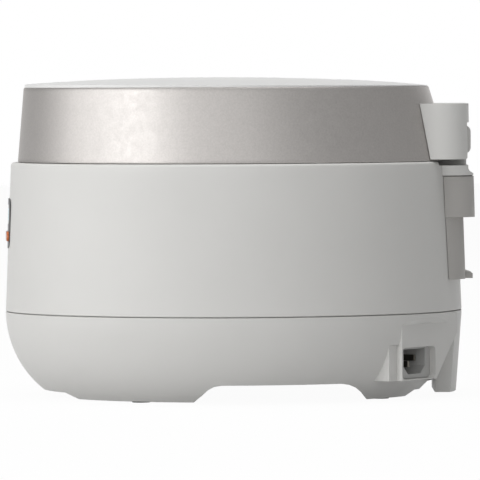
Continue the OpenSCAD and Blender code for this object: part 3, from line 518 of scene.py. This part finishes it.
def makeUpperShell(spec):
    foot, rim = shellLow.z, shellHigh.z
    panelLow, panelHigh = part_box("panel_bezel")
    panelX = panelHigh.x - spec["panelRim"]
    panelZ = (panelLow.z + spec["panelRim"], panelHigh.z - spec["panelRim"])
    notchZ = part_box("rear_ledge")[1].z
    footRound, rimRound, innerRound = spec["footRound"], spec["rimRound"], spec["innerRound"]
    outerEnd, innerEnd = spec["rimMeets"]
    rimHalf = shellHalf(rim)
    deep = rimHalf - spec["rimWidth"]
    root = rim - spec["rimRoot"]
    rootTop = root + spec["rootRise"]
    evenHeights = np.linspace(foot + footRound, root, spec["rows"])
    heights = np.unique(np.concatenate([evenHeights, panelZ, spec["hookZ"], [spec["slotZ"]]]))
    footHeights = foot + footRound * np.linspace(0, spec["footRise"], spec["footSteps"])
    outer = np.vstack([
        arc((shellHalf(foot) - footRound, foot + footRound), footRound, -90, -15, spec["footSteps"]),
        np.stack([shellHalf(heights), heights], axis=-1),
        [[shellHalf(rootTop), rootTop], [shellHalf(notchZ), notchZ]],
        arc((rimHalf - rimRound, rim - rimRound), rimRound, 0, 90, spec["rimSteps"]),
        [[rimHalf - outerEnd, rim]]])
    inner = np.vstack([
        np.stack([np.full(spec["footSteps"], bodyHalf - spec["wall"]), footHeights], axis=-1),
        np.stack([shellHalf(heights) - spec["wall"], heights], axis=-1),
        [[deep, rootTop], [deep, notchZ]],
        arc((deep + innerRound, rim - innerRound), innerRound, 180, 90, spec["rimSteps"]),
        [[rimHalf - innerEnd, rim]]])
    half = narrow * shellHalf(spec["slotZ"])
    rearEdges = (spec["slotX"], spec["notchX"], *spec["hookX"])
    edges = [side * math.asin(panelX / half) for side in (1, -1)]
    edges += [math.pi - side * math.asin(edge / half) for edge in rearEdges for side in (1, -1)]
    turns = turnsWith(edges, spec["turnCount"])
    outerGrid = ovalGrid(outer, turns, bodyMiddle, narrow)
    innerGrid = ovalGrid(inner, turns, bodyMiddle, narrow)
    after = np.roll(outerGrid, -1, axis=1)
    cells = np.mean([outerGrid[:-1], after[:-1], outerGrid[1:], after[1:]], axis=0)
    x, y, z = np.abs(cells[..., 0]), cells[..., 1], cells[..., 2]

    def opening(side, spanX, spanZ):   # side is -1 for the front wall and 1 for the rear
        return (side * y > 0) & (x > spanX[0]) & (x < spanX[1]) & (z > spanZ[0]) & (z < spanZ[1])

    holes = opening(-1, (-math.inf, panelX), panelZ)
    holes |= opening(1, spec["hookX"], spec["hookZ"])
    holes |= opening(1, (-math.inf, spec["slotX"]), (spec["slotZ"], math.inf))
    holes |= opening(1, (-math.inf, spec["notchX"]), (notchZ, math.inf))
    points, faces = thickSheet(outerGrid, innerGrid, ~holes)
    makePiece("upperShell", points, faces, "white_plastic", "body", ["upper_shell"])


makeUpperShell(upperShell)

# Metal band of the lid: an oval wall that leans inwards and slides forward as it rises. Half its depth and
# the place of its middle both run straight from the lower edge to the crown.
bandShape = {
    "wall": 0.0018,
    "lowRound": 0.0005,
    "topRound": 0.0007,
    "drop": 0.0003,          # how far the lower edge hangs towards the body's rim
    "crownGap": 0.0007,
    "lip": 0.0035,
    "lipDepth": 0.0015,
    "lipCorner": (0.0002, 0.0012),   # how far the corner under the lip runs inwards
    "lipClear": 0.0006,      # the inner sheet's upright rows stop this far below it
    "rowLift": 0.0004,       # keeps those rows apart
    "openX": 0.042,          # half width and top of the opening that the hinge cover hides
    "openTop": 0.188,
    "rows": 26,
    "lowSteps": 5,
    "topSteps": 6,
    "turnCount": 320,
}


def makeBand(spec):
    low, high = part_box("lid_band")
    low = low - Vector((0.0, 0.0, spec["drop"]))
    coverLow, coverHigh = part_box("lid_cover")
    lowHalf = high.x / narrow
    lowMiddle = low.y + lowHalf
    topHalf = (coverHigh.y - coverLow.y) / 2 + spec["crownGap"]
    topMiddle = (coverHigh.y + coverLow.y) / 2
    lowRound, topRound, wall = spec["lowRound"], spec["topRound"], spec["wall"]
    lowSteps, topSteps = spec["lowSteps"], spec["topSteps"]

    def halfAt(z):
        return lowHalf + (topHalf - lowHalf) * (z - low.z) / (high.z - low.z)

    def middleAt(z):
        return lowMiddle + (topMiddle - lowMiddle) * (z - low.z) / (high.z - low.z)

    evenHeights = np.linspace(low.z + lowRound, high.z - topRound, spec["rows"])
    heights = np.unique(np.append(evenHeights, spec["openTop"]))
    lipFoot = high.z - spec["lipDepth"]
    outer = np.vstack([
        arc((halfAt(low.z) - lowRound, low.z + lowRound), lowRound, -90, -12, lowSteps),
        np.stack([halfAt(heights), heights], axis=-1),
        arc((halfAt(high.z) - topRound, high.z - topRound), topRound, 15, 90, topSteps),
        [[topHalf - spec["lip"], high.z]]])
    innerHeights = np.minimum(heights, lipFoot - spec["lipClear"])
    corner = topHalf - wall - np.linspace(*spec["lipCorner"], topSteps)
    inner = np.vstack([
        np.stack([np.full(lowSteps, halfAt(low.z) - wall), np.full(lowSteps, low.z)], axis=-1),
        np.stack([halfAt(innerHeights) - wall, innerHeights], axis=-1),
        np.stack([corner, np.full(topSteps, lipFoot)], axis=-1),
        [[topHalf - spec["lip"], lipFoot]]])
    inner[lowSteps:lowSteps + len(heights), 1] += np.linspace(0, spec["rowLift"], len(heights))
    openHalf = narrow * halfAt((low.z + spec["openTop"]) / 2)
    openTurn = math.asin(spec["openX"] / openHalf)
    turns = turnsWith([math.pi - openTurn, math.pi + openTurn], spec["turnCount"])
    outerGrid = ovalGrid(outer, turns, middleAt(outer[:, 1]), narrow)
    innerGrid = ovalGrid(inner, turns, middleAt(inner[:, 1]), narrow)
    cellTurn = turns + np.mod(np.roll(turns, -1) - turns, 2 * np.pi) / 2
    cellHeight = (outer[:-1, 1] + outer[1:, 1]) / 2
    holes = (cellHeight < spec["openTop"])[:, None] & (np.abs(cellTurn - math.pi) < openTurn)[None, :]
    points, faces = thickSheet(outerGrid, innerGrid, ~holes)
    makePiece("lidBand", points, faces, "band_metal", "lid", ["lid_band"])


makeBand(bandShape)
print("shells made")

# Inner pot: a turned cup with a round foot corner and a rolled rim.
potShape = {
    "wall": 0.0022,
    "footRadius": 0.028,
    "wallRow": 0.045,        # height of a further row on the straight wall
    "neckRound": 0.0016,
    "rimWide": 0.008,
    "rimThick": 0.002,
    "mouthRound": 0.0030,
    "stepRadius": 0.045,     # the underside is dished inside this radius
    "stepWide": 0.0016,
    "dish": 0.0006,
    "footSteps": 18,
    "neckSteps": 5,
    "rimSteps": 9,
    "mouthSteps": 7,
    "turnCount": 192,
}


def makePot(spec):
    low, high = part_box("inner_pot")
    centre = ((low.x + high.x) / 2, (low.y + high.y) / 2)
    rimRadius = (high.x - low.x) / 2
    radius = rimRadius - spec["rimWide"]
    wall, foot, step = spec["wall"], spec["footRadius"], spec["stepRadius"]
    neckRound, mouthRound = spec["neckRound"], spec["mouthRound"]
    rimRound = spec["rimThick"] / 2
    neckTop = high.z - 2 * rimRound - neckRound
    wallRow = low.z + spec["wallRow"]
    profile = np.vstack([
        [[0.0, low.z + spec["dish"]], [step, low.z + spec["dish"]], [step + spec["stepWide"], low.z]],
        arc((radius - foot, low.z + foot), foot, -90, 0, spec["footSteps"]),
        [[radius, wallRow], [radius, neckTop]],
        arc((radius + neckRound, neckTop), neckRound, 180, 90, spec["neckSteps"])[1:],
        arc((rimRadius - rimRound, high.z - rimRound), rimRound, -90, 90, spec["rimSteps"]),
        arc((radius - wall + mouthRound, high.z - mouthRound), mouthRound, 90, 180, spec["mouthSteps"]),
        [[radius - wall, wallRow]],
        arc((radius - foot, low.z + foot), foot - wall, 0, -90, spec["footSteps"]),
        [[step, low.z + wall], [0.0, low.z + wall]]])
    points, faces = turned(profile, centre, spec["turnCount"])
    makePiece("innerPot", points, faces, "pot_coating", "body", ["inner_pot"], 50.0)


# Lid gasket: a rubber ring with a root held in the lid and a thin lip that leans out over the pot's rim.
gasketShape = {
    "reach": 0.0066,          # the ring's outer edge, past the pot's radius
    "turnCount": 192,
    "profile": (              # outwards from the pot's radius, height below the top of the ring, in mm
        (1.0, 3.4), (1.2, 3.1), (2.2, 3.0), (3.6, 3.2), (4.4, 4.1), (5.0, 4.86), (5.4, 4.9), (6.0, 4.9),
        (6.5, 4.8), (6.5, 4.4), (6.1, 2.8), (5.6, 0.9), (5.3, 0.1), (4.9, 0.0), (2.9, 0.0), (2.5, 0.2),
        (2.4, 0.5), (2.4, 1.9), (2.2, 2.2), (1.3, 2.2), (1.0, 2.5)),
}


def makeGasket(spec):
    low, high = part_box("pot_gasket")
    centre = ((low.x + high.x) / 2, (low.y + high.y) / 2)
    potRadius = (high.x - low.x) / 2 - spec["reach"]
    profile = [(potRadius + mm * out, high.z - mm * down) for out, down in spec["profile"]]
    points, faces = turned(profile, centre, spec["turnCount"])
    makePiece("potGasket", points, faces, "silicone", "lid", ["pot_gasket"], 60.0)


# Coil spring: a round wire swept along a helix, centre(t) = (R cos a, R sin a, z(t)) with a = 2 pi n t.
# The end coils lie flat: z rises by t - sin(2 pi t) / (2 pi), which is level at both ends. The wire's ring is
# wire * (outward * cos b + downward * sin b), both square to the helix.
# Each spring stands on its lower end.
springs = {
    "sensorSpring": {"node": "sensor_spring", "wire": 0.0006, "coils": 5.5, "body": "body",
                     "joint": "sensor_travel", "travel": 0.0015},
    "releaseSpring": {"node": "lid_button_spring", "wire": 0.0006, "coils": 6.5, "body": "lid",
                      "joint": "release_press", "travel": 0.003},
}


def helix(radius, wire, coils, length, steps=40, around=10):
    t = np.linspace(0, 1, int(coils * steps) + 1)
    angle = 2 * np.pi * coils * t
    rise = wire + (length - 2 * wire) * (t - np.sin(2 * np.pi * t) / (2 * np.pi))
    middle = np.stack([radius * np.cos(angle), radius * np.sin(angle), rise], axis=-1)
    outward = np.stack([np.cos(angle), np.sin(angle), 0 * angle], axis=-1)
    along = np.gradient(middle, axis=0)
    along /= np.linalg.norm(along, axis=1, keepdims=True)
    downward = np.cross(along, outward)
    turns = np.arange(around) * 2 * np.pi / around
    ring = outward[:, None] * np.cos(turns)[None, :, None] + downward[:, None] * np.sin(turns)[None, :, None]
    points = (middle[:, None] + wire * ring).reshape(-1, 3)
    faces = gridQuads(len(t), around).tolist()
    last = (len(t) - 1) * around
    faces += [list(range(around))[::-1], [last + i for i in range(around)]]
    return points, faces


def makeSpring(name, spec):
    low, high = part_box(spec["node"])
    radius = (high.x - low.x) / 2 - spec["wire"]
    points, faces = helix(radius, spec["wire"], spec["coils"], high.z - low.z)
    centre = np.array([(low.x + high.x) / 2, (low.y + high.y) / 2, low.z])
    piece = makePiece(name, points + centre, faces, "spring_steel", spec["body"], [spec["node"]], 60.0)
    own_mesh(piece)


makePot(potShape)
makeGasket(gasketShape)
for springName, springSpec in springs.items():
    makeSpring(springName, springSpec)
print("pot, gasket and springs made")


# Front of the control panel, whose skin leans away from the shell as it rises. Half its depth at a height is
# the shell's plus, in mm, proud + footOffset + lean * share, with a share of 0 at the foot and 1 at the top.
panelSkin = {
    "foot": 0.090,            # height at which the skin starts
    "span": 0.050,            # and how far up it runs
    "footOffset": -0.65,      # mm out from the shell at the foot
    "lean": 0.85,             # mm further out at the top
}


def panelHalf(z, proud):
    lean = panelSkin["lean"] * (z - panelSkin["foot"]) / panelSkin["span"]
    return shellHalf(z) + mm * (proud + panelSkin["footOffset"] + lean)


def setMarks(piece, values):
    lit = piece.data.attributes.new("lit", "FLOAT", "POINT")
    lit.data.foreach_set("value", np.asarray(values, np.float32).ravel())


# Display: each segment is a thin six-sided prism that follows the window's curve. Segments are listed as
# top, upper right, lower right, bottom, lower left, upper left, middle.
display = {
    "digits": ("1", "2", "3", "0"),
    "places": (-0.0108, -0.0052, 0.0028, 0.0084),
    "height": 0.0074,
    "width": 0.0038,
    "stroke": 0.0008,
    "gap": 0.00012,
    "slant": 0.10,
    "shapes": {"0": "1111110", "1": "0110000", "2": "1101101", "3": "1111001"},
    "colonX": -0.0012,
    "colon": (0.0014, -0.0014),
    "dot": 1.2,               # a dot's radius as a multiple of half the stroke
    "layers": (0.74, 0.5),    # proud, in mm, for the figures' faces and for their backs
}


def segmentOutlines(spec, digit):
    w, h, t = spec["width"] / 2, spec["height"] / 2, spec["stroke"] / 2   # half width, height and stroke
    ends = [((-w, h), (w, h)), ((w, h), (w, 0)), ((w, 0), (w, -h)), ((-w, -h), (w, -h)), ((-w, -h), (-w, 0)),
            ((-w, 0), (-w, h)), ((-w, 0), (w, 0))]
    outlines = []
    for (start, end), lit in zip(ends, spec["shapes"][digit]):
        if lit == "1":
            start, end = np.array(start), np.array(end)
            along = (end - start) / np.linalg.norm(end - start)
            side = np.array([-along[1], along[0]])
            tip, shoulder = along * spec["gap"], along * (spec["gap"] + t)
            outlines.append(np.array([
                start + tip, start + shoulder - side * t, end - shoulder - side * t,
                end - tip, end - shoulder + side * t, start + shoulder + side * t]))
    return outlines


def makeDisplay(spec):
    sides = 6
    low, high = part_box("display_window")
    outlines = []
    for digit, place in zip(spec["digits"], spec["places"]):
        outlines += [outline + (place, 0.0) for outline in segmentOutlines(spec, digit)]
    dotRadius = spec["stroke"] / 2 * spec["dot"]
    corners = np.array([(math.cos(a), math.sin(a)) for a in np.arange(sides) * 2 * math.pi / sides])
    outlines += [dotRadius * corners + (spec["colonX"], height) for height in spec["colon"]]
    flat = np.array(outlines)
    x = flat[..., 0] + spec["slant"] * flat[..., 1]
    z = (low.z + high.z) / 2 + flat[..., 1]
    layers = []
    for proud in spec["layers"]:
        half = panelHalf(z, proud)
        layers.append(np.stack([x, bodyMiddle - half * np.sqrt(1 - (x / (narrow * half)) ** 2), z], axis=-1))
    points = np.stack(layers, axis=1).reshape(-1, 3)
    faces = []
    for first in range(0, len(points), 2 * sides):
        front = list(range(first, first + sides))
        back = list(range(first + sides, first + 2 * sides))
        faces += [front, back[::-1]]
        for i in range(sides):
            after = (i + 1) % sides
            faces.append((front[i], back[i], back[after], front[after]))
    piece = makePiece("displayDigits", points, faces, "window_plastic", "body")
    setMarks(piece, np.ones(len(points)))


# Keys: a turned cap with a rounded edge and a shallow dish. Its mark is drawn by a signed distance on the
# cap's face, negative inside.
keys = {
    "places": {               # across from the middle, in metres
        "start_button": 0.0142, "menu_button": 0.0047, "timer_button": -0.0047, "cancel_button": -0.0142},
    "rise": -0.0085,          # up from the panel's middle, in metres; what follows is in mm
    "radius": 3.3,
    "top": 1.7,
    "edge": 0.5,
    "dish": 0.22,
    "flange": ((0.0, -9.0), (2.0, -9.0), (2.0, -7.0), (4.2, -7.0), (4.2, -4.6), (3.3, -4.6), (3.3, 0.0)),
    "edgeSteps": 7,
    "rings": 30,
    "turnCount": 144,
    "markSize": 1.45,         # times the marks' own sizes
    "markSoft": 0.09,         # width over which a mark's edge fades
}

marks = {
    "triangle": (0.7, 0.6),   # the start key's: from its middle to its upright side and to its slanted ones
    "slant": (0.5, 0.866),    # square to a slanted side: cosine and sine of 60 degrees
    "dial": (1.15, 0.16),     # the timer key's ring: radius and half width
    "bars": {                 # middle across and up, half width and half height
        "cancel_button": ((0.0, 0.0, 0.85, 0.85),),
        "menu_button": ((0.0, -0.75, 1.1, 0.17), (0.0, 0.0, 1.1, 0.17), (0.0, 0.75, 1.1, 0.17)),
        "timer_button": ((0.0, 0.4, 0.14, 0.5), (0.3, -0.02, 0.4, 0.14)),
    },
}


# Distance to a mark's outline at (u, v) on the cap's face. A bar's is max(|u - x| - w, |v - y| - h), and a
# mark of several parts takes the least of theirs.
def markDistance(nodeName, u, v, spec):
    if nodeName == "start_button":
        upright, slanted = spec["triangle"]
        across, up = spec["slant"]
        return np.maximum.reduce([-u - upright, across * u + up * v - slanted, across * u - up * v - slanted])
    parts = [np.maximum(np.abs(u - x) - w, np.abs(v - y) - h) for x, y, w, h in spec["bars"][nodeName]]
    if nodeName == "timer_button":
        radius, halfWidth = spec["dial"]
        parts.append(np.abs(np.hypot(u, v) - radius) - halfWidth)
    return np.minimum.reduce(parts)


# The cap is turned about its own axis in mm, then placed on the panel's curve and faced outwards.
def makeKey(nodeName, x, spec):
    low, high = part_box("panel_bezel")
    z = (low.z + high.z) / 2 + spec["rise"]
    half = shellHalf(z)
    y = bodyMiddle - half * math.sqrt(1 - (x / (narrow * half)) ** 2)
    turn = math.atan2(x / narrow ** 2, bodyMiddle - y)
    flat = spec["radius"] - spec["edge"]
    edge = arc((flat, spec["top"] - spec["edge"]), spec["edge"], 0, 90, spec["edgeSteps"])
    radii = np.linspace(flat, 0, spec["rings"])[1:]
    face = np.stack([radii, spec["top"] - spec["dish"] * (1 - (radii / flat) ** 2)], axis=-1)
    points, faces = turned(np.vstack([spec["flange"], edge, face]), (0.0, 0.0), spec["turnCount"])
    u, v, out = np.asarray(points).T
    right = np.array([math.cos(turn), math.sin(turn), 0.0])
    upward = np.array([0.0, 0.0, 1.0])
    outward = np.array([math.sin(turn), -math.cos(turn), 0.0])
    placed = mm * (u[:, None] * right + v[:, None] * upward + out[:, None] * outward) + (x, y, z)
    slot = "start_key" if nodeName == "start_button" else "key_plastic"
    name, body = nodeName.replace("_button", "KeyCap"), nodeName.replace("_button", "_key")
    piece = makePiece(name, placed, faces, slot, body, [nodeName], 40.0)
    onFace = (out > 0) & (np.hypot(u, v) < flat)
    size = spec["markSize"]
    distance = size * markDistance(nodeName, u / size, v / size, marks)
    setMarks(piece, onFace * np.clip(0.5 - distance / spec["markSoft"], 0, 1))


makeDisplay(display)
for keyNode, keyX in keys["places"].items():
    makeKey(keyNode, keyX, keys)
print("display and keys made")
